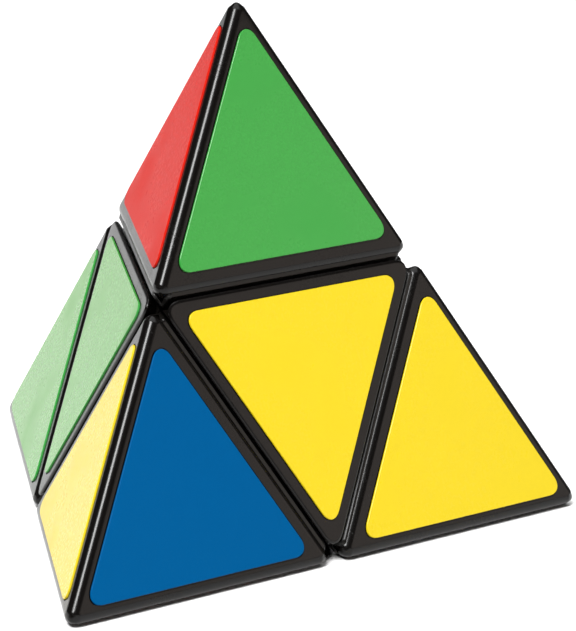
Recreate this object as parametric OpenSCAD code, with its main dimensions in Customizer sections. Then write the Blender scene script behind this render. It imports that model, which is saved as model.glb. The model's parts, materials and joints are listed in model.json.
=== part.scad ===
// Pyramid twisty puzzle: a regular tetrahedron cut in half three ways, which gives four
// tips and four face centres round a hidden core with six spring-loaded caps.
//
// The pieces are modelled on the puzzle's three turning axes x, y and z, with the core's
// centre at [0, 0, 0], and stand() turns the finished piece so that the puzzle rests on
// its under face, +Z up, with the front face towards -Y and the origin under the top tip.

/* [Pyramid] */
// Length of an edge between two sharp corners, before rounding
edge_l = 90; // [84:1:112]
// Gap between two neighbouring outer pieces
gap = 0.3; // [0.2:0.05:0.8]
// Rounding of the tips' edges and corners
tip_r = 1.3; // [0.8:0.1:1.6]
// Rounding of the thin edges of the face centres
centre_r = 0.3; // [0.2:0.05:0.7]

/* [Shells and bases] */
// Wall of the outer shells
shell_t = 1.8; // [1.2:0.1:2.4]
// Wall of the bases that close the shells along the cuts
base_t = 1.3; // [1.0:0.1:2.0]
// Thickness of the rim of a tip's base, on which the tip's shell sits
rim_t = 0.4; // [0.3:0.05:0.8]
// How far the rim stays behind the outer faces
rim_inset = 0.35; // [0.1:0.05:0.8]
// Clearance of a base inside its shell
plug_c = 0.15; // [0.05:0.05:0.3]

/* [Stickers] */
// Thickness of a sticker
sticker_t = 0.25; // [0.1:0.05:0.5]
// Corner radius of a sticker
sticker_r = 1.4; // [0.8:0.1:2.4]
// Distance from a tip's sharp edges to its stickers
ridge_margin = 2.3; // [2.0:0.05:4.0]
// Distance from a tip's groove edge to its stickers
groove_margin = 2.65; // [2.0:0.05:4.0]
// Distance from the edges of a face centre to its sticker
centre_margin = 2.35; // [1.6:0.05:4.0]

/* [Turning mechanism] */
// Running clearance between sliding faces
slide_c = 0.3; // [0.2:0.05:0.4]
// Wall of the bowl in which each outer piece runs round the mechanism
bowl_t = 1.4; // [1.0:0.1:2.0]
// Depth of the outer layer: caps, hidden edges and necks
track_t = 3.5; // [3.0:0.1:4.2]
// Depth of the inner layer: the feet that hook underneath
foot_t = 3.5; // [3.0:0.1:4.2]
// Half width of a hidden edge in the outer layer
track_h = 5.0; // [4.7:0.1:5.6]
// Half width of a foot in the inner layer
foot_h = 3.0; // [2.9:0.1:3.4]

/* [Core and axles] */
// Radius of the ball in the middle of the core
ball_r = 4.8; // [4.2:0.1:5.6]
// Radius of the six arms of the core
arm_r = 2.4; // [2.0:0.1:2.8]
// Play between the end of an arm and its cap
arm_play = 0.2; // [0.1:0.05:0.4]
// Radius of an axle screw
screw_r = 1.2; // [1.0:0.05:1.3]
// Length of an axle screw inside the core
screw_grip = 4.4; // [3.5:0.1:5.0]
// Radius of a screw head
head_r = 2.3; // [2.0:0.1:2.5]
// Height of a screw head
head_t = 1.2; // [0.8:0.1:1.5]
// Thickness of a washer
washer_t = 0.3; // [0.2:0.05:0.5]
// Clearance of a screw in the bore of its cap
axle_c = 0.15; // [0.1:0.05:0.25]
// Floor of a cap, which the spring presses on
cap_floor_t = 1.2; // [0.8:0.1:1.6]
// Length of a fitted spring
spring_l = 3.2; // [2.6:0.1:3.4]
// Radius of the spring wire
wire_r = 0.2; // [0.15:0.05:0.25]
// Number of turns of a spring
spring_turns = 4; // [3:1:6]

/* [Hidden] */
// Half the side of the cube whose corners hold the four tips
half_cube = edge_l / (2 * sqrt(2));
// Distance from the centre to every outer face
face_d = half_cube / sqrt(3);
// Height of the core's centre when the puzzle rests on its under stickers
rest_h = face_d + sticker_t;
// Height of the triangle that a tip or a face centre shows on each outer face
face_h = edge_l / 2 * sqrt(3) / 2;
// The mechanism's spheres, from the outer faces inwards
bowl_r = face_d - shell_t - plug_c - bowl_t;
r_out = bowl_r - slide_c / 2;
r_mid = r_out - track_t;
r_in = r_mid - foot_t;
// What fits in the square windows that the hidden edges leave round each axle
cap_r = track_h - slide_c / 2;
boss_r = foot_h - slide_c / 2;
// Places along an axle, measured from the centre
arm_end = r_in - arm_play;
boss_end = r_in + slide_c / 2;
spring_from = boss_end + cap_floor_t;
washer_from = spring_from + spring_l;
head_from = washer_from + washer_t;
// Radii of the spring and of the room that it needs
coil_r = screw_r + axle_c + wire_r;
pocket_r = coil_r + wire_r + axle_c;
recess_r = head_r + 2 * axle_c;
// Clearance of a screw in its hole in the core
bore_c = 0.02;
// The driver cross in a screw head
slot_w = 0.5;
slot_l = 3.2;
slot_depth = head_t / 2;
// How far pieces that are one solid run into each other
weld = 0.5;
far = edge_l;
eps = 0.01;
// Facets of the spheres, of the round parts and of the rounded shells
ball_fn = 96;
turned_fn = 64;
round_fn = 32;
// Sides of the spring wire, and its steps in one turn
wire_sides = 6;
coil_steps = 12;

PLASTIC = [0.07, 0.07, 0.075];
CORE_PLASTIC = [0.85, 0.85, 0.82];
STEEL = [0.72, 0.73, 0.75];
RED = [0.80, 0.14, 0.12];
YELLOW = [0.98, 0.83, 0.06];
GREEN = [0.12, 0.60, 0.18];
BLUE = [0.02, 0.25, 0.62];

// Tips: name, turn from the top tip, then name and colour of its three stickers
TIPS = [
    ["top_tip", [0, 0, 0], [["front", GREEN], ["right", BLUE], ["left", RED]]],
    ["left_tip", [180, 0, 0], [["left", YELLOW], ["under", RED], ["front", BLUE]]],
    ["right_tip", [0, 180, 0], [["right", GREEN], ["front", YELLOW], ["under", BLUE]]],
    ["back_tip", [0, 0, 180], [["under", YELLOW], ["left", GREEN], ["right", RED]]],
];
TOP_CORNER = [1, 1, 1];
// Face centres: name, turn from the under centre, colour of the sticker
CENTRES = [
    ["under_centre", [0, 0, 0], BLUE],
    ["right_centre", [180, 0, 0], RED],
    ["left_centre", [0, 180, 0], GREEN],
    ["front_centre", [0, 0, 180], YELLOW],
];
UNDER_CORNER = [-1, -1, -1];
// Caps, one on each end of the three axes, named after the pyramid edge above them
CAPS = [
    ["cap_front_left_edge", [0, 90, 0]],
    ["cap_back_right_edge", [0, -90, 0]],
    ["cap_front_right_edge", [-90, 0, 0]],
    ["cap_back_left_edge", [90, 0, 0]],
    ["cap_back_edge", [0, 0, 0]],
    ["cap_front_edge", [180, 0, 0]],
];
// Hidden edges: name, and the direction from the centre to the middle of the groove above
EDGES = [
    ["hidden_edge_front_top", [1, 1, 0]],
    ["hidden_edge_front_left", [1, 0, -1]],
    ["hidden_edge_front_right", [0, 1, -1]],
    ["hidden_edge_left_top", [1, 0, 1]],
    ["hidden_edge_left_front", [1, -1, 0]],
    ["hidden_edge_left_back", [0, -1, 1]],
    ["hidden_edge_right_top", [0, 1, 1]],
    ["hidden_edge_right_front", [-1, 1, 0]],
    ["hidden_edge_right_back", [-1, 0, 1]],
    ["hidden_edge_under_back", [-1, -1, 0]],
    ["hidden_edge_under_right", [-1, 0, -1]],
    ["hidden_edge_under_left", [0, -1, -1]],
];

// ---- Frames and cutting shapes ----

// Turns the axes' frame into the resting frame
module stand() {
    multmatrix([
        [-1 / sqrt(2), 1 / sqrt(2), 0, 0],
        [-1 / sqrt(6), -1 / sqrt(6), 2 / sqrt(6), 0],
        [1 / sqrt(3), 1 / sqrt(3), 1 / sqrt(3), rest_h],
    ]) children();
}

// The space on one side of the centre: beyond h along each signed axis of dir, and
// within h across an axis whose sign is 0, less half the running clearance
module zone(dir, h) {
    near = h + slide_c / 2;
    side = h - slide_c / 2;
    low = [for (s = dir) s > 0 ? near : s < 0 ? -far : -side];
    high = [for (s = dir) s > 0 ? far : s < 0 ? -near : side];
    translate(low) cube(high - low);
}

module ball_shell(r_from, r_to) {
    difference() {
        sphere(r_to, $fn = ball_fn);
        sphere(r_from, $fn = ball_fn);
    }
}

// Corners of a tip that starts cut_d from the three cuts and stays face_in inside its
// outer faces: inner corner, the three pyramid-edge middles, and the tip itself
function tip_reach(face_in) = half_cube - face_in * sqrt(3);
function tip_points(cut_d, face_in) =
    let (c = cut_d, s = tip_reach(face_in))
    [[c, c, c], [s, c, c], [c, s, c], [c, c, s], [s, s, s]];

module tip_solid(cut_d, face_in) {
    polyhedron(tip_points(cut_d, face_in),
        [[0, 1, 2], [0, 2, 3], [0, 3, 1], [1, 4, 2], [1, 3, 4], [2, 4, 3]]);
}

// The same for a face centre, which lies on the other side of the core
function centre_points(cut_d, face_in) =
    let (c = -cut_d, s = -(half_cube - face_in * sqrt(3) - 2 * cut_d))
    [[c, c, c], [s, c, c], [c, s, c], [c, c, s]];

module centre_solid(cut_d, face_in) {
    polyhedron(centre_points(cut_d, face_in), [[0, 2, 1], [0, 3, 2], [0, 1, 3], [1, 2, 3]]);
}

// What lies further than depth from the three cuts, on the side that corner points to
module beyond_cuts(corner, depth) {
    translate((depth + far / 2) * corner) cube(far, center = true);
}

// ---- Hidden parts ----

module core() {
    color(CORE_PLASTIC) difference() {
        union() {
            sphere(ball_r, $fn = ball_fn);
            for (cap = CAPS) rotate(cap[1]) cylinder(r = arm_r, h = arm_end, $fn = turned_fn);
        }
        for (cap = CAPS)
            rotate(cap[1])
                translate([0, 0, arm_end - screw_grip])
                    cylinder(r = screw_r + bore_c, h = screw_grip + eps, $fn = turned_fn);
    }
}

module axle_screw() {
    difference() {
        union() {
            translate([0, 0, arm_end - screw_grip])
                cylinder(r = screw_r, h = head_from - arm_end + screw_grip + eps, $fn = turned_fn);
            translate([0, 0, head_from]) cylinder(r = head_r, h = head_t, $fn = turned_fn);
        }
        for (turn = [0, 90])
            rotate(turn)
                translate([-slot_l / 2, -slot_w / 2, head_from + head_t - slot_depth])
                    cube([slot_l, slot_w, head_t]);
    }
}

module axle_screws() {
    color(STEEL) for (cap = CAPS) rotate(cap[1]) axle_screw();
}

// One ring of the spring wire's outline at a turn of angle t, height z
function wire_ring(t, z) = [
    for (k = [0:wire_sides - 1])
        let (u = 360 * k / wire_sides, r = coil_r + wire_r * cos(u))
        [r * cos(t), r * sin(t), z + wire_r * sin(u)]
];

module spring() {
    steps = spring_turns * coil_steps;
    rise = spring_l - 2 * wire_r;
    rings = [for (i = [0:steps]) each wire_ring(360 * i / coil_steps, rise * i / steps)];
    sides = [
        for (i = [0:steps - 1], k = [0:wire_sides - 1])
            let (
                a = i * wire_sides + k,
                b = i * wire_sides + (k + 1) % wire_sides
            )
            each [[a, b, b + wire_sides], [a, b + wire_sides, a + wire_sides]]
    ];
    first_end = [for (k = [wire_sides - 1:-1:0]) k];
    last_end = [for (k = [0:wire_sides - 1]) steps * wire_sides + k];
    translate([0, 0, spring_from + wire_r]) polyhedron(rings, concat(sides, [first_end, last_end]));
}

module axle_springs() {
    color(STEEL) for (cap = CAPS) rotate(cap[1]) spring();
}

module spring_washers() {
    color(STEEL) for (cap = CAPS)
        rotate(cap[1])
            translate([0, 0, washer_from])
                difference() {
                    cylinder(r = head_r, h = washer_t, $fn = turned_fn);
                    translate([0, 0, -eps])
                        cylinder(r = screw_r + axle_c / 2, h = washer_t + 2 * eps, $fn = turned_fn);
                }
}

// A cap: a domed disc over the hidden edges, on a boss that turns on the screw
module axle_cap() {
    color(PLASTIC) difference() {
        union() {
            intersection() {
                cylinder(r = cap_r, h = far, $fn = ball_fn);
                ball_shell(r_mid + slide_c / 2, r_out - slide_c / 2);
            }
            translate([0, 0, boss_end])
                cylinder(r = boss_r, h = r_mid + slide_c + weld - boss_end, $fn = turned_fn);
        }
        cylinder(r = screw_r + axle_c, h = far, $fn = turned_fn);
        translate([0, 0, spring_from]) cylinder(r = pocket_r, h = far, $fn = turned_fn);
        translate([0, 0, washer_from - weld]) cylinder(r = recess_r, h = far, $fn = turned_fn);
    }
}

// A hidden edge: a block over the feet of the outer pieces, with a foot under the caps
module hidden_edge(dir) {
    color(PLASTIC) {
        intersection() {
            zone(dir, track_h);
            ball_shell(r_mid + slide_c / 2, r_out - slide_c / 2);
        }
        intersection() {
            zone(dir, foot_h);
            ball_shell(r_in + slide_c / 2, r_mid - slide_c / 2);
        }
        intersection() {
            zone(dir, track_h);
            zone(dir, foot_h);
            ball_shell(r_mid - weld, r_mid + weld);
        }
    }
}

// ---- Outer pieces ----

// The neck and the foot that hold an outer piece under the hidden edges
module neck_and_foot(corner) {
    intersection() {
        zone(corner, track_h);
        ball_shell(r_mid - weld, bowl_r + weld);
    }
    intersection() {
        zone(corner, foot_h);
        ball_shell(r_in + slide_c / 2, r_mid - slide_c / 2);
    }
}

// The bowl in which an outer piece runs round the mechanism
module bowl(corner) {
    intersection() {
        beyond_cuts(corner, gap / 2);
        ball_shell(bowl_r, bowl_r + bowl_t);
    }
}

// Centres of the spheres that round a tip's rim: the shell's own along its ridges, and
// from there along the outer faces to below the cuts
function rim_points(below) =
    let (
        near = gap / 2 + rim_t + tip_r,
        s = tip_reach(tip_r),
        back = s - near - below,
        corner = [[back, near, -below], [back, -below, near], [s, near, near]]
    )
    concat(
        [[-below, -below, -below], [s, s, s]],
        [for (p = corner) each [p, [p[1], p[0], p[2]], [p[1], p[2], p[0]]]]
    );

// The rim on which a tip's shell sits: the shell's outline, a little further in
module tip_rim() {
    rim_r = tip_r - rim_inset;
    difference() {
        intersection() {
            hull() for (p = rim_points(rim_r)) translate(p) sphere(rim_r, $fn = round_fn);
            beyond_cuts(TOP_CORNER, gap / 2);
        }
        beyond_cuts(TOP_CORNER, gap / 2 + rim_t);
        sphere(bowl_r, $fn = ball_fn);
    }
}

module tip_base() {
    color(PLASTIC) {
        tip_rim();
        difference() {
            tip_solid(gap / 2, shell_t + plug_c);
            beyond_cuts(TOP_CORNER, gap / 2 + base_t);
            sphere(bowl_r, $fn = ball_fn);
        }
        bowl(TOP_CORNER);
        neck_and_foot(TOP_CORNER);
    }
}

module tip_shell() {
    corners = tip_points(gap / 2 + rim_t + tip_r, tip_r);
    color(PLASTIC) difference() {
        hull() for (p = corners) translate(p) sphere(tip_r, $fn = round_fn);
        tip_solid(-1, shell_t);
    }
}

module centre_base() {
    color(PLASTIC) {
        difference() {
            centre_solid(gap / 2, shell_t + plug_c);
            beyond_cuts(UNDER_CORNER, gap / 2 + base_t);
            sphere(bowl_r, $fn = ball_fn);
        }
        bowl(UNDER_CORNER);
        neck_and_foot(UNDER_CORNER);
    }
}

module centre_shell() {
    corners = centre_points(gap / 2 + centre_r, centre_r);
    color(PLASTIC) difference() {
        hull() for (p = corners) translate(p) sphere(centre_r, $fn = round_fn);
        centre_solid(-1, shell_t);
    }
}

// ---- Stickers ----

// A triangle with all sides equal and round corners, its lower side on the x axis
module rounded_triangle(height) {
    side = (height - 3 * sticker_r) * 2 / sqrt(3);
    offset(r = sticker_r, $fn = round_fn)
        translate([0, sticker_r])
            polygon([[-side / 2, 0], [side / 2, 0], [0, side * sqrt(3) / 2]]);
}

// The sticker on the front of the top tip, and with a turn of 120 degrees about the
// tip's own axis the ones on its other two faces
module tip_sticker(turn) {
    rotate(turn, v = [1, 1, 1])
        multmatrix([
            [-1 / sqrt(2), 1 / sqrt(6), 1 / sqrt(3), half_cube / 2],
            [1 / sqrt(2), 1 / sqrt(6), 1 / sqrt(3), half_cube / 2],
            [0, 2 / sqrt(6), -1 / sqrt(3), 0],
        ])
            translate([0, groove_margin, 0])
                linear_extrude(sticker_t)
                    rounded_triangle(face_h - groove_margin - 2 * ridge_margin);
}

module centre_sticker() {
    multmatrix([
        [-1 / sqrt(2), 1 / sqrt(6), -1 / sqrt(3), -half_cube / 3],
        [1 / sqrt(2), 1 / sqrt(6), -1 / sqrt(3), -half_cube / 3],
        [0, -2 / sqrt(6), -1 / sqrt(3), -half_cube / 3],
    ])
        translate([0, centre_margin - face_h / 3, 0])
            linear_extrude(sticker_t)
                rounded_triangle(face_h - 3 * centre_margin);
}

stand() core();
stand() axle_screws();
stand() axle_springs();
stand() spring_washers();
for (cap = CAPS)
    stand() rotate(cap[1]) axle_cap();
for (edge = EDGES)
    stand() hidden_edge(edge[1]);
for (tip = TIPS) {
    stand() rotate(tip[1]) tip_base();
    stand() rotate(tip[1]) tip_shell();
    for (i = [0:2])
        stand() color(tip[2][i][1]) rotate(tip[1]) tip_sticker(120 * i);
}
for (centre = CENTRES) {
    stand() rotate(centre[1]) centre_base();
    stand() rotate(centre[1]) centre_shell();
    stand() color(centre[2]) rotate(centre[1]) centre_sticker();
}
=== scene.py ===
# %% [markdown]
# # Pyramid twisty puzzle
# The puzzle is a regular tetrahedron cut in half three ways. That leaves four hollow tips,
# four thin face centres, and sixteen vinyl stickers on them. Inside sit a core, six
# spring-loaded caps and twelve hidden edges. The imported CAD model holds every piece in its
# place, so the script loads it first. The pieces are built round the three turning axes,
# because each tip and each centre is then the same shape after a half turn about one axis.

import json
import math

import bmesh
import bpy
from mathutils import Matrix, Vector


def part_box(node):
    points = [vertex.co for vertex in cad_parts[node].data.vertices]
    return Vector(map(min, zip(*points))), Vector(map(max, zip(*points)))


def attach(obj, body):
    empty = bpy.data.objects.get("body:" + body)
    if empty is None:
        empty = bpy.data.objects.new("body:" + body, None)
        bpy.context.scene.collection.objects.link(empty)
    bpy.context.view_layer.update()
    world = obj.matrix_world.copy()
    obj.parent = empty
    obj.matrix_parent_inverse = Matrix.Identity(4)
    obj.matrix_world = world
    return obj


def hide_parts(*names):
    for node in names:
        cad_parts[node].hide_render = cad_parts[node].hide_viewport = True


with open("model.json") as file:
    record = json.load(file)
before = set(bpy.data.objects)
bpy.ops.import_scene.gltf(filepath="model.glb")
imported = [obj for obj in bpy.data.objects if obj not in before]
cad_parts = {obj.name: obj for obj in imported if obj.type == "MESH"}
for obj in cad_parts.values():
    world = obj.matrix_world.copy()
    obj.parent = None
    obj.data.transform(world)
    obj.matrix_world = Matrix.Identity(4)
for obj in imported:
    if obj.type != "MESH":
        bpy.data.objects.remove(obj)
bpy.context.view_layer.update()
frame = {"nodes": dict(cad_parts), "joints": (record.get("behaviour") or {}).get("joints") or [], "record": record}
record = frame["record"]
MM = 0.001
body_of = {node: body for body, nodes in record["behaviour"]["bodies"].items() for node in nodes}
slot_of = {part["node"]: part["material_slot"] for part in record["subparts"]}

# %% The turning axes and the overall sizes
joints = {joint["name"]: joint for joint in frame["joints"]}
centre = Vector(joints["left_half_turn"]["pos_m"])
axes = [Vector(joints[name]["axis"]) for name in
        ("left_half_turn", "front_right_cap_spin", "back_cap_spin")]
stand = Matrix.Translation(centre) @ Matrix(axes).transposed().to_4x4()
low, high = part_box("under_centre_sticker")
sticker_t = high.z - low.z
face_d = centre.z - sticker_t
half_cube = face_d * math.sqrt(3)
face_h = half_cube * math.sqrt(6) / 2
print(f"edge {half_cube * 2 * math.sqrt(2) / MM:.2f} mm, centre to face {face_d / MM:.2f} mm, "
      f"sticker {sticker_t / MM:.2f} mm")

# %% [markdown]
# The names follow the CAD model. A tip is modelled between the positive ends of the axes and
# a face centre between the negative ends, and the letter is the axis of the half turn that
# takes it to its place.

# %% The pieces and their places
TIPS = {
    "top_tip": ("", ("front", "right", "left")),
    "left_tip": ("X", ("left", "under", "front")),
    "right_tip": ("Y", ("right", "front", "under")),
    "back_tip": ("Z", ("under", "left", "right")),
}
CENTRES = {"under_centre": "", "right_centre": "X", "left_centre": "Y", "front_centre": "Z"}


def half_turn(axis):
    """The half turn about one of the puzzle's axes, or none."""
    return Matrix.Rotation(math.pi, 4, axis) if axis else Matrix.Identity(4)


def third_turn(count):
    """A number of third turns about the line from the centre to a tip."""
    return Matrix.Rotation(math.tau * count / 3, 4, Vector((1, 1, 1)))


# %% [markdown]
# Moulded plastic is never one flat colour. Its gloss is broken by a faint orange peel, by
# hairline scratches and by a little dust. All of that is arithmetic on noise, so a small
# class wraps an output socket and lets Python's own operators add the Math nodes, and one
# method adds every other node.

# %% Shader arithmetic
class Wire:
    """An output socket that can be used in Python expressions."""

    def __init__(self, finish, socket):
        self.finish = finish
        self.socket = socket

    def maths(self, operation, *values):
        settings = {"operation": operation}
        return self.finish.node("ShaderNodeMath", settings, dict(enumerate(values)))

    def __add__(self, other):
        return self.maths("ADD", self, other)

    def __sub__(self, other):
        return self.maths("SUBTRACT", self, other)

    def __rsub__(self, other):
        return self.maths("SUBTRACT", other, self)

    def __mul__(self, other):
        return self.maths("MULTIPLY", self, other)

    __radd__ = __add__
    __rmul__ = __mul__

    def step(self, start, end):
        """0 up to start and 1 from end, with a smooth change between them."""
        settings = {"interpolation_type": "SMOOTHSTEP"}
        return self.finish.node("ShaderNodeMapRange", settings, {0: self, 1: start, 2: end})


class Finish:
    """A material, its node tree and its Principled shader."""

    def __init__(self, name, colour, **constants):
        self.material = bpy.data.materials.new(name)
        self.material.use_nodes = True
        self.tree = self.material.node_tree
        self.shader = self.tree.nodes["Principled BSDF"]
        self.shader.inputs["Base Color"].default_value = (*colour, 1)
        for socket, value in constants.items():
            self.shader.inputs[socket].default_value = value
        self.place = self.node("ShaderNodeTexCoord", {}, {}, "Object")

    def node(self, kind, settings, inputs, output=0):
        """Adds a node, sets it up, feeds its inputs, and returns one of its outputs."""
        node = self.tree.nodes.new(kind)
        for key, value in settings.items():
            setattr(node, key, value)
        for key, value in inputs.items():
            if isinstance(value, Wire):
                self.tree.links.new(value.socket, node.inputs[key])
            else:
                node.inputs[key].default_value = value
        return Wire(self, node.outputs[output])

    def noise(self, size, detail=2.0, place=None):
        """Cloudy noise from 0 to 1 whose blotches are about size across."""
        inputs = {"Vector": place or self.place, "Scale": 1 / size, "Detail": detail}
        return self.node("ShaderNodeTexNoise", {}, inputs)

    def stretched(self, stretch, turn=(0, 0, 0)):
        """The place on the piece, turned and then measured in these steps."""
        inputs = {"Vector": self.place, "Rotation": turn, "Scale": stretch}
        return self.node("ShaderNodeMapping", {"vector_type": "TEXTURE"}, inputs)

    def mix(self, share, first, second):
        """A colour between two colours."""
        inputs = {0: share, 6: (*first, 1), 7: (*second, 1)}
        return self.node("ShaderNodeMix", {"data_type": "RGBA"}, inputs, 2)

    def feed(self, socket, wire):
        """Lets a wire drive one of the shader's inputs."""
        self.tree.links.new(wire.socket, self.shader.inputs[socket])

    def bump(self, height, depth):
        """Feeds the normal from a height between 0 and 1 that stands for a real depth."""
        inputs = {"Height": height, "Distance": depth}
        self.feed("Normal", self.node("ShaderNodeBump", {}, inputs))


# %% [markdown]
# The casing is glossy black ABS. Its colour is almost black, so what shows is its shine:
# a smooth mould surface with a faint orange peel, hairlines from handling in a few
# patches, and a trace of dust that dulls it. The hairlines are the walls between
# stretched cells, kept only where a second noise is high.

# %% Plastics
def hairlines(finish, turn):
    """Thin scratches that run one way, in patches: 1 in a scratch and 0 beside it."""
    along, across = 14 * MM, 0.9 * MM
    inputs = {"Vector": finish.stretched((across, along, across), turn), "Scale": 1.0}
    cells = finish.node("ShaderNodeTexVoronoi", {"feature": "DISTANCE_TO_EDGE"}, inputs)
    patches = finish.noise(11 * MM).step(0.52, 0.66)
    return (1 - cells.step(0.004, 0.02)) * patches


PLASTIC_SHINE = 0.22


def black_plastic(name, colour, roughness, peel_depth):
    """Moulded black plastic: orange peel, hairlines and a little dust."""
    finish = Finish(name, colour, **{"Specular IOR Level": PLASTIC_SHINE})
    dust = finish.noise(0.35 * MM, 3).step(0.66, 0.78) * finish.noise(9 * MM).step(0.45, 0.7)
    scratches = hairlines(finish, (0.4, 0.9, 0.3)) + hairlines(finish, (1.2, 0.2, 2.1))
    dusty = tuple(channel + 0.02 for channel in colour)
    finish.feed("Base Color", finish.mix(dust, colour, dusty))
    cloud = finish.noise(6 * MM, 3)
    finish.feed("Roughness", cloud * 0.05 + dust * 0.1 + scratches * 0.12 + roughness)
    peel = finish.noise(1.1 * MM, 1)
    finish.bump(peel - scratches * 0.5, peel_depth)
    return finish.material


def core_white(name, colour):
    """Off-white moulded plastic with a satin skin and faint flow marks."""
    finish = Finish(name, colour, IOR=1.46)
    flow = finish.noise(2.5 * MM, 4)
    finish.feed("Base Color", finish.mix(flow, colour, tuple(0.88 * c for c in colour)))
    finish.feed("Roughness", flow * 0.15 + 0.38)
    finish.bump(finish.noise(0.4 * MM, 3), 0.004 * MM)
    return finish.material


def turned_steel(name, colour):
    """Bright steel with fine marks from the lathe and the wire drawing."""
    finish = Finish(name, colour, Metallic=1.0)
    grain = finish.noise(1.0, 2, finish.stretched((0.06 * MM, 0.06 * MM, 1.5 * MM)))
    finish.feed("Roughness", grain * 0.2 + 0.18)
    finish.bump(grain, 0.002 * MM)
    return finish.material


# %% [markdown]
# The stickers are printed vinyl. Their colour is even, but the film is a little mottled,
# it lies in slight waves, and where it was pressed down it keeps fine creases. Its gloss
# gives it the pale sheen that it shows at a low angle.

# %% Vinyl
SHEEN_TINT = (1.0, 0.92, 0.4, 1.0)


def vinyl(name, colour, shine, sheen=0.0):
    """Smooth vinyl film: mottled colour, slight waves and faint creases."""
    constants = {"Specular IOR Level": shine, "Sheen Weight": sheen, "Sheen Tint": SHEEN_TINT}
    finish = Finish(name, colour, **constants)
    mottle = finish.noise(0.5 * MM, 3)
    deep = tuple(0.93 * channel for channel in colour)
    finish.feed("Base Color", finish.mix(mottle, colour, deep))
    crease_place = finish.stretched((0.5 * MM, 5 * MM, 2 * MM), (0.3, 0.2, 0.5))
    creases = finish.noise(1.0, 2, crease_place) * finish.noise(13 * MM).step(0.5, 0.75)
    finish.feed("Roughness", mottle * 0.06 + creases * 0.14 + 0.24)
    waves = finish.noise(7 * MM, 1)
    finish.bump(waves * 0.8 + mottle * 0.04 + creases * 0.35, 0.02 * MM)
    return finish.material


# %% Every slot's material
SHELL_BLACK = (0.0022, 0.0018, 0.0016)
INNER_BLACK = (0.004, 0.0035, 0.003)
CORE_WHITE = (0.80, 0.80, 0.77)
STEEL = (0.66, 0.67, 0.68)
RED = (0.45, 0.011, 0.005)
YELLOW = (0.56, 0.425, 0.005)
GREEN = (0.018, 0.222, 0.029)
BLUE = (0.0, 0.066, 0.192)
materials = {
    "shell_plastic": black_plastic("gloss black plastic", SHELL_BLACK, 0.20, 0.004 * MM),
    "inner_plastic": black_plastic("satin black plastic", INNER_BLACK, 0.28, 0.006 * MM),
    "core_plastic": core_white("off-white plastic", CORE_WHITE),
    "steel": turned_steel("turned steel", STEEL),
    "sticker_red": vinyl("red vinyl", RED, 0.014),
    "sticker_yellow": vinyl("yellow vinyl", YELLOW, 0.22),
    "sticker_green": vinyl("green vinyl", GREEN, 0.34, 0.11),
    "sticker_blue": vinyl("blue vinyl", BLUE, 0.014),
}
print(len(materials), "materials for", len(record["materials"]), "slots")

# %% [markdown]
# Every new piece goes through one helper. It gives the mesh its shading and ties the piece
# to the CAD node that it stands for: the same body, the same slot and its material.

# %% A finished piece
def mesh_of(bm, name):
    """Writes a bmesh to a new mesh."""
    mesh = bpy.data.meshes.new(name)
    bm.to_mesh(mesh)
    bm.free()
    return mesh


CREASE = math.radians(28)


def add_piece(node, mesh):
    """Shows a mesh in place of a CAD node, smooth up to the crease angle."""
    mesh.shade_smooth()
    mesh.set_sharp_from_angle(angle=CREASE)
    piece = bpy.data.objects.new(node + "_look", mesh)
    bpy.context.scene.collection.objects.link(piece)
    piece.data.materials.append(materials[slot_of[node]])
    shading = piece.modifiers.new("flat faces stay flat", "WEIGHTED_NORMAL")
    shading.keep_sharp = True
    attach(piece, body_of[node])
    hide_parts(node)
    return piece


# %% [markdown]
# Each outer face carries a sticker with round corners, in a shallow frame that the mould
# leaves round it. Both start from the same outline: a circle of three segments whose
# corners are bevelled. A vertex bevel draws part of an ellipse, so its reach is chosen to
# put the middle of the arc where a true arc of that radius would have it.

# %% The outline of a sticker
STICKER_R = 1.4 * MM
ARC_STEPS = 10
ARC_REACH = 1 / ((1 - math.sqrt(0.5)) * math.sqrt(3))


def rounded_triangle(bm, place, foot, height, radius):
    """A flat triangle with round corners whose lower side is foot above the x axis."""
    middle = Matrix.Translation((0, foot + height / 3, 0))
    made = bmesh.ops.create_circle(bm, cap_ends=True, segments=3, radius=height * 2 / 3,
                                   matrix=place @ middle)
    made = bmesh.ops.bevel(bm, geom=made["verts"], affect="VERTICES", segments=ARC_STEPS,
                           offset=radius * ARC_REACH, profile=0.5, material=-1)
    face = max(made["verts"][0].link_faces, key=lambda f: len(f.verts))
    if face.normal.dot(place.to_3x3().col[2]) < 0:
        face.normal_flip()
    return face


# %% Where the stickers lie
RIDGE_MARGIN = 2.3 * MM
GROOVE_MARGIN = 2.65 * MM
CENTRE_MARGIN = 2.35 * MM
tip_label = (GROOVE_MARGIN, face_h - GROOVE_MARGIN - 2 * RIDGE_MARGIN)
centre_label = (CENTRE_MARGIN - face_h / 3, face_h - 3 * CENTRE_MARGIN)


def face_frame(across, up, out, origin):
    """A frame with x across an outer face, y up it and z out of it."""
    columns = [Vector(axis).normalized() for axis in (across, up, out)]
    return Matrix.Translation(origin) @ Matrix(columns).transposed().to_4x4()


tip_face = face_frame((-1, 1, 0), (1, 1, 2), (1, 1, -1), (half_cube / 2, half_cube / 2, 0))
centre_face = face_frame((-1, 1, 0), (1, 1, -2), (-1, -1, -1), [-half_cube / 3] * 3)

# %% [markdown]
# A sticker is that outline raised to the film's thickness. The cutting die leaves its upper
# rim slightly round, and that rim is what catches a thin line of light.

# %% The stickers
DIE_ROUND = 0.09 * MM
DIE_STEPS = 3


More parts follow.
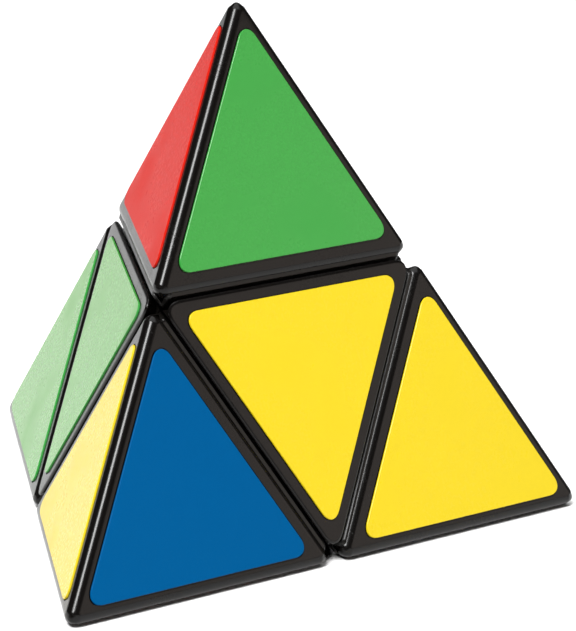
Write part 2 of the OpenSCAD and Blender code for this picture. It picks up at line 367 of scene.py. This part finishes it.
def add_sticker(node, place, label):
    """One vinyl sticker on an outer face."""
    bm = bmesh.new()
    face = rounded_triangle(bm, place, *label, STICKER_R)
    out = place.to_3x3().col[2] * sticker_t
    made = bmesh.ops.extrude_face_region(bm, geom=[face])
    top = [part for part in made["geom"] if isinstance(part, bmesh.types.BMFace)][0]
    bmesh.ops.translate(bm, verts=top.verts[:], vec=out)
    bmesh.ops.bevel(bm, geom=top.edges[:], affect="EDGES", offset=DIE_ROUND,
                    segments=DIE_STEPS, profile=0.5, material=-1)
    bmesh.ops.recalc_face_normals(bm, faces=bm.faces[:])
    return add_piece(node, mesh_of(bm, node))


stickers = []
for tip, (axis, sides) in TIPS.items():
    for count, side in enumerate(sides):
        place = stand @ half_turn(axis) @ third_turn(count) @ tip_face
        stickers.append(add_sticker(f"{tip}_sticker_{side}", place, tip_label))
for piece, axis in CENTRES.items():
    place = stand @ half_turn(axis) @ centre_face
    stickers.append(add_sticker(f"{piece}_sticker", place, centre_label))
print(len(stickers), "stickers")

# %% [markdown]
# The frame round a sticker is a narrow channel in the plastic. A flat face is taken out and
# bridged to the outline a little outside the sticker, and the outline's own face is then
# inset in steps: down the channel's wall, across its floor, and up to the platform that
# the sticker lies on.

# %% The channel round a sticker
CHANNEL_W = 0.2 * MM
CHANNEL_DEPTH = 0.16 * MM
CHANNEL_DRAFT = 0.03 * MM


SAME_WAY = 0.9999


def flat_face(bm, out):
    """The largest of the faces that look straight out."""
    flats = [face for face in bm.faces if face.normal.dot(out) > SAME_WAY]
    return max(flats, key=lambda face: face.calc_area())


def cut_channel(bm, place, label):
    """Cuts the channel of a sticker into the outer face that it lies on."""
    flat = flat_face(bm, place.to_3x3().col[2])
    foot, height = label
    outer = (foot - CHANNEL_W, height + 3 * CHANNEL_W)
    face = rounded_triangle(bm, place, *outer, STICKER_R + CHANNEL_W)
    rims = flat.edges[:] + face.edges[:]
    bmesh.ops.delete(bm, geom=[flat], context="FACES_ONLY")
    bmesh.ops.bridge_loops(bm, edges=rims)
    floor_w = CHANNEL_W - 2 * CHANNEL_DRAFT
    steps = ((CHANNEL_DRAFT, -CHANNEL_DEPTH), (floor_w, 0), (CHANNEL_DRAFT, CHANNEL_DEPTH))
    for width, rise in steps:
        bmesh.ops.inset_individual(bm, faces=[face], thickness=width, depth=rise,
                                   use_even_offset=True)


# %% [markdown]
# A tip's shell is hollow and open towards the centre, where its base closes it. Two hulls
# of four points give its skin and its lining, each without its open side, and bridging
# their rims closes the wall. The edges are then rounded like a moulding's, with one radius
# all over: a blunt edge needs a narrow bevel for it and a sharp edge a wide one, so each
# edge's bevel weight comes from the angle between its faces.

# %% The shells of the tips
GAP = 0.3 * MM
RIM_T = 0.4 * MM
SHELL_T = 1.8 * MM
TIP_R = 1.3 * MM
ROUND_STEPS = 10


def three_faces(bm, near, reach):
    """The three outer faces of a tip as an open mesh, and the four corners."""
    points = ((reach, near, near), (near, reach, near), (near, near, reach), (reach,) * 3)
    corners = [bm.verts.new(point) for point in points]
    hull = bmesh.ops.convex_hull(bm, input=corners)
    faces = [part for part in hull["geom"] if isinstance(part, bmesh.types.BMFace)]
    open_side = [face for face in faces if corners[3] not in face.verts]
    bmesh.ops.delete(bm, geom=open_side, context="FACES_ONLY")
    return [face for face in faces if face.is_valid], corners


def round_edges(bm, corners, radius):
    """Weights the corners' edges for one rounding radius and returns the widest bevel."""
    weight = bm.edges.layers.float.new("bevel_weight_edge")
    edges = {edge for corner in corners for edge in corner.link_edges}
    widths = {edge: radius * math.tan(edge.calc_face_angle() / 2) for edge in edges}
    widest = max(widths.values())
    for edge, width in widths.items():
        edge[weight] = width / widest
    return widest


def bevelled(mesh, width):
    """The mesh with its weighted edges rounded, as a new bmesh."""
    rough = bpy.data.objects.new("rough", mesh)
    bpy.context.scene.collection.objects.link(rough)
    bevel = rough.modifiers.new("rounded edges", "BEVEL")
    bevel.limit_method = "WEIGHT"
    bevel.width = width
    bevel.segments = ROUND_STEPS
    bevel.use_clamp_overlap = False
    bm = bmesh.new()
    bm.from_object(rough, bpy.context.evaluated_depsgraph_get())
    bpy.data.objects.remove(rough)
    return bm


def tip_shell_mesh():
    """The shell of a tip in the axes' frame, with the channels of its stickers."""
    bm = bmesh.new()
    near = GAP / 2 + RIM_T
    _, outside = three_faces(bm, near, half_cube)
    lining, _ = three_faces(bm, near, half_cube - SHELL_T * math.sqrt(3))
    bmesh.ops.reverse_faces(bm, faces=lining)
    bmesh.ops.bridge_loops(bm, edges=[edge for edge in bm.edges if edge.is_boundary])
    bmesh.ops.recalc_face_normals(bm, faces=bm.faces[:])
    width = round_edges(bm, outside, TIP_R)
    bm = bevelled(mesh_of(bm, "tip"), width)
    for count in range(3):
        cut_channel(bm, third_turn(count) @ tip_face, tip_label)
    return mesh_of(bm, "tip shell")


tip_shell = tip_shell_mesh()
for tip, (axis, sides) in TIPS.items():
    mesh = tip_shell.copy()
    mesh.transform(stand @ half_turn(axis))
    add_piece(tip + "_shell", mesh)
print("a tip's shell has", len(tip_shell.polygons), "faces")

# %% [markdown]
# The shell of a face centre is a thin plate whose sides lean inwards along the cuts. It is
# one rounded outline, extruded inwards and drawn together towards the puzzle's centre, with
# its sharp upper rim bevelled.

# %% The shells of the face centres
CENTRE_R = 0.3 * MM
CENTRE_CORNER_R = 2.0 * MM
RIM_STEPS = 5


def centre_shell_mesh():
    """The shell of a face centre in the axes' frame, with its sticker's channel."""
    bm = bmesh.new()
    height = (half_cube - 1.5 * GAP) * math.sqrt(6) / 2
    face = rounded_triangle(bm, centre_face, -height / 3, height, CENTRE_CORNER_R)
    made = bmesh.ops.extrude_face_region(bm, geom=[face])
    under = [part for part in made["geom"] if isinstance(part, bmesh.types.BMFace)][0]
    out = centre_face.to_3x3().col[2]
    apex_d = face_d - GAP / 2 * math.sqrt(3)
    shrink = 1 - SHELL_T / apex_d
    bmesh.ops.scale(bm, verts=under.verts[:], vec=(shrink,) * 3,
                    space=Matrix.Translation(out * (apex_d - face_d)))
    bmesh.ops.recalc_face_normals(bm, faces=bm.faces[:])
    top = max(bm.faces, key=lambda f: f.calc_center_median().dot(out))
    lean = max(edge.calc_face_angle() for edge in top.edges)
    made = bmesh.ops.bevel(bm, geom=top.edges[:], affect="EDGES", segments=RIM_STEPS,
                           profile=0.5, offset=CENTRE_R * math.tan(lean / 2), material=-1)
    cut_channel(bm, centre_face, centre_label)
    return mesh_of(bm, "centre shell")


centre_shell = centre_shell_mesh()
for piece, axis in CENTRES.items():
    mesh = centre_shell.copy()
    mesh.transform(stand @ half_turn(axis))
    add_piece(piece + "_shell", mesh)
print("a centre's shell has", len(centre_shell.polygons), "faces")

# %% [markdown]
# The bases, the hidden edges, the caps, the core and its screws already have their true
# shape in the CAD model, but as loose flat triangles. A merged copy keeps every size and
# lets the turned and spherical faces shade smoothly.

# %% The pieces inside
MERGE_D = 0.001 * MM


def add_smooth_copy(node):
    """Shows a CAD node's own shape with its triangles joined."""
    bm = bmesh.new()
    bm.from_mesh(frame["nodes"][node].data)
    bmesh.ops.remove_doubles(bm, verts=bm.verts[:], dist=MERGE_D)
    mesh = mesh_of(bm, node)
    return add_piece(node, mesh)


inner_slots = ("inner_plastic", "core_plastic", "steel")
inner = [node for node, slot in slot_of.items() if slot in inner_slots]
for node in inner:
    add_smooth_copy(node)
print(len(inner), "pieces inside")

# %% [markdown]
# The puzzle stands on a pale floor under soft studio light. The box overhead lights the
# floor and gives the soft shadow. The key draws the bright line along the front left ridge.
# The front fill is dim and a little warm, and its reflection is what tells the black front
# faces from the dark grooves.

# %% The floor
FLOOR_SIZE = 4.0
FLOOR_GREY = (0.8, 0.8, 0.8)
floor_bm = bmesh.new()
bmesh.ops.create_grid(floor_bm, x_segments=1, y_segments=1, size=FLOOR_SIZE)
floor = bpy.data.objects.new("floor", mesh_of(floor_bm, "floor"))
bpy.context.scene.collection.objects.link(floor)
floor_finish = Finish("pale floor", FLOOR_GREY, Roughness=0.9)
floor.data.materials.append(floor_finish.material)


# %% The lights
WARM = (1.0, 0.88, 0.80)
AMBIENT = (0.07, 0.07, 0.07, 1)


def softbox(name, azimuth, elevation, distance, width, height, radiance, colour=(1, 1, 1)):
    """A rectangular soft light that looks at the puzzle. Azimuth 0 is the front."""
    light = bpy.data.lights.new(name, "AREA")
    light.shape = "RECTANGLE"
    light.size = width
    light.size_y = height
    light.color = colour
    light.energy = radiance * math.pi * width * height
    lamp = bpy.data.objects.new(name, light)
    turn = Matrix.Rotation(math.radians(azimuth), 4, "Z")
    tilt = Matrix.Rotation(math.radians(90 - elevation), 4, "X")
    away = Matrix.Translation((0, 0, distance))
    lamp.matrix_world = Matrix.Translation(centre) @ turn @ tilt @ away
    bpy.context.scene.collection.objects.link(lamp)


softbox("overhead", 0, 90, 3.0, 3.6, 3.6, 2.35)
softbox("key", -60, 50, 1.5, 0.55, 0.55, 40.0)
softbox("front fill", 40, 12, 2.0, 1.6, 0.7, 1.6, WARM)
world = bpy.context.scene.world or bpy.data.worlds.new("studio")
bpy.context.scene.world = world
world.use_nodes = True
world.node_tree.nodes["Background"].inputs["Color"].default_value = AMBIENT
bpy.context.scene.view_settings.view_transform = "Standard"

# %% [markdown]
# The camera looks slightly down at the front and left faces from half a metre away, through
# a long lens, and leans a little to one side.

# %% The camera
VIEW_AZIMUTH, VIEW_ELEVATION, VIEW_ROLL = -39.5, 16.5, -2.22
VIEW_DISTANCE = 0.51
VIEW_TARGET = Vector((10.9, 0, 26.4)) * MM
LENS, SENSOR_W = 231.9, 36.0

camera_data = bpy.data.cameras.new("camera")
camera_data.sensor_fit = "HORIZONTAL"
camera_data.sensor_width = SENSOR_W
camera_data.lens = LENS
camera = bpy.data.objects.new("camera", camera_data)
camera.matrix_world = (
    Matrix.Translation(VIEW_TARGET)
    @ Matrix.Rotation(math.radians(VIEW_AZIMUTH), 4, "Z")
    @ Matrix.Rotation(math.radians(90 - VIEW_ELEVATION), 4, "X")
    @ Matrix.Rotation(math.radians(-VIEW_ROLL), 4, "Z")
    @ Matrix.Translation((0, 0, VIEW_DISTANCE)))
bpy.context.scene.collection.objects.link(camera)
bpy.context.scene.camera = camera
